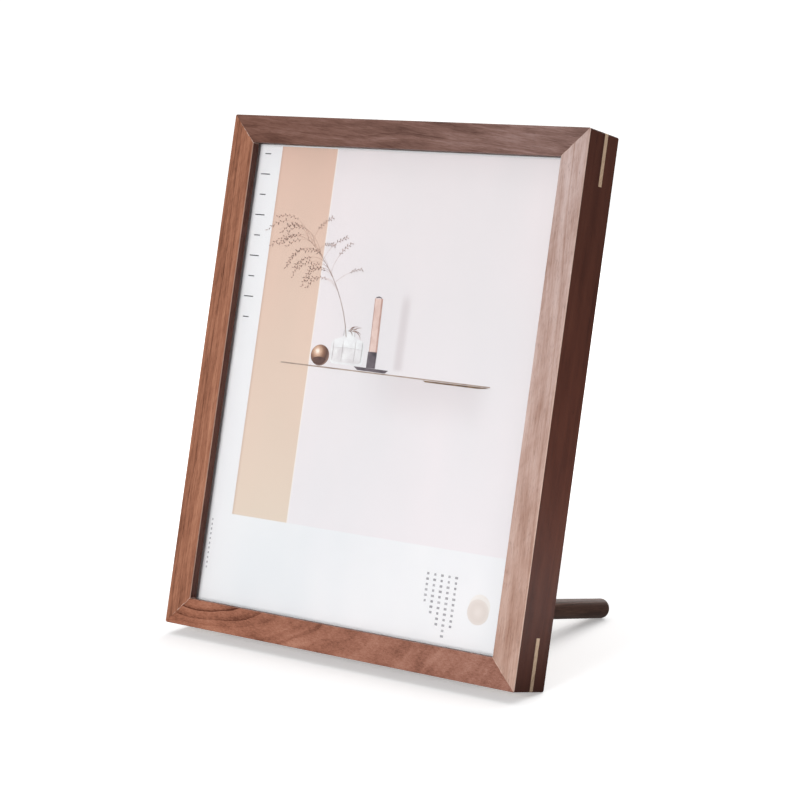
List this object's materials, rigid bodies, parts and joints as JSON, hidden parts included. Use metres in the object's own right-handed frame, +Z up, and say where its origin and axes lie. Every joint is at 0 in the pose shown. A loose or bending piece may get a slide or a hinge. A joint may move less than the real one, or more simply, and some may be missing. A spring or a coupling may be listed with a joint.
{
  "type": "table-top picture frame",
  "caption": "Leaning wooden picture frame with keyed mitres, a glazed print and one round peg leg behind.",
  "frame": {"origin": "on the table, under the middle of the frame and its leg", "axes": "+X to the viewer's right, -Y to the front, +Z up; the frame leans back 13.3 degrees towards +Y"},
  "size_m": [0.228, 0.1706, 0.2789],
  "materials": {
    "frame_wood": "oiled walnut",
    "key_wood": "oiled maple",
    "leg_wood": "oiled walnut",
    "back_veneer": "walnut veneer",
    "block_wood": "sawn",
    "spacer_wood": "planed softwood",
    "glazing": "clear",
    "print_paper": "matt",
    "card": "grey board",
    "button_brass": "satin",
    "screw_brass": "satin"
  },
  "bodies": {
    "frame": {"top_rail": "frame_wood", "bottom_rail": "frame_wood", "left_stile": "frame_wood", "right_stile": "frame_wood", "key_top_left": "key_wood", "key_top_right": "key_wood", "key_bottom_left": "key_wood", "key_bottom_right": "key_wood", "glazing": "glazing", "art_print": "print_paper", "backing_card": "card", "spacer_top": "spacer_wood", "spacer_bottom": "spacer_wood", "spacer_left": "spacer_wood", "spacer_right": "spacer_wood", "back_panel": "back_veneer", "leg_block": "block_wood", "screw_top": "screw_brass", "screw_bottom": "screw_brass", "screw_left_upper": "screw_brass", "screw_left_lower": "screw_brass", "screw_right_upper": "screw_brass", "screw_right_lower": "screw_brass"},
    "leg": {"leg": "leg_wood"},
    "top_button": {"turn_button_top": "button_brass"},
    "bottom_button": {"turn_button_bottom": "button_brass"},
    "left_upper_button": {"turn_button_left_upper": "button_brass"},
    "left_lower_button": {"turn_button_left_lower": "button_brass"},
    "right_upper_button": {"turn_button_right_upper": "button_brass"},
    "right_lower_button": {"turn_button_right_lower": "button_brass"}
  },
  "joints": [
    {"name": "leg_pull", "type": "slide", "parent": "frame", "child": "leg", "axis": [0, 0.9806, -0.1959], "range_m": [0, 0.02]},
    {"name": "top_button_turn", "type": "hinge", "parent": "frame", "child": "top_button", "pos_m": [0, 0.0054, 0.26707], "axis": [0, 0.9732, -0.23], "range_deg": [-90, 90]},
    {"name": "bottom_button_turn", "type": "hinge", "parent": "frame", "child": "bottom_button", "pos_m": [0, -0.05649, 0.00528], "axis": [0, 0.9732, -0.23], "range_deg": [-90, 90]},
    {"name": "left_upper_button_turn", "type": "hinge", "parent": "frame", "child": "left_upper_button", "pos_m": [-0.1085, -0.01059, 0.19943], "axis": [0, 0.9732, -0.23], "range_deg": [-90, 90]},
    {"name": "left_lower_button_turn", "type": "hinge", "parent": "frame", "child": "left_lower_button", "pos_m": [-0.1085, -0.0405, 0.07292], "axis": [0, 0.9732, -0.23], "range_deg": [-90, 90]},
    {"name": "right_upper_button_turn", "type": "hinge", "parent": "frame", "child": "right_upper_button", "pos_m": [0.1085, -0.01059, 0.19943], "axis": [0, 0.9732, -0.23], "range_deg": [-90, 90]},
    {"name": "right_lower_button_turn", "type": "hinge", "parent": "frame", "child": "right_lower_button", "pos_m": [0.1085, -0.0405, 0.07292], "axis": [0, 0.9732, -0.23], "range_deg": [-90, 90]}
  ]
}
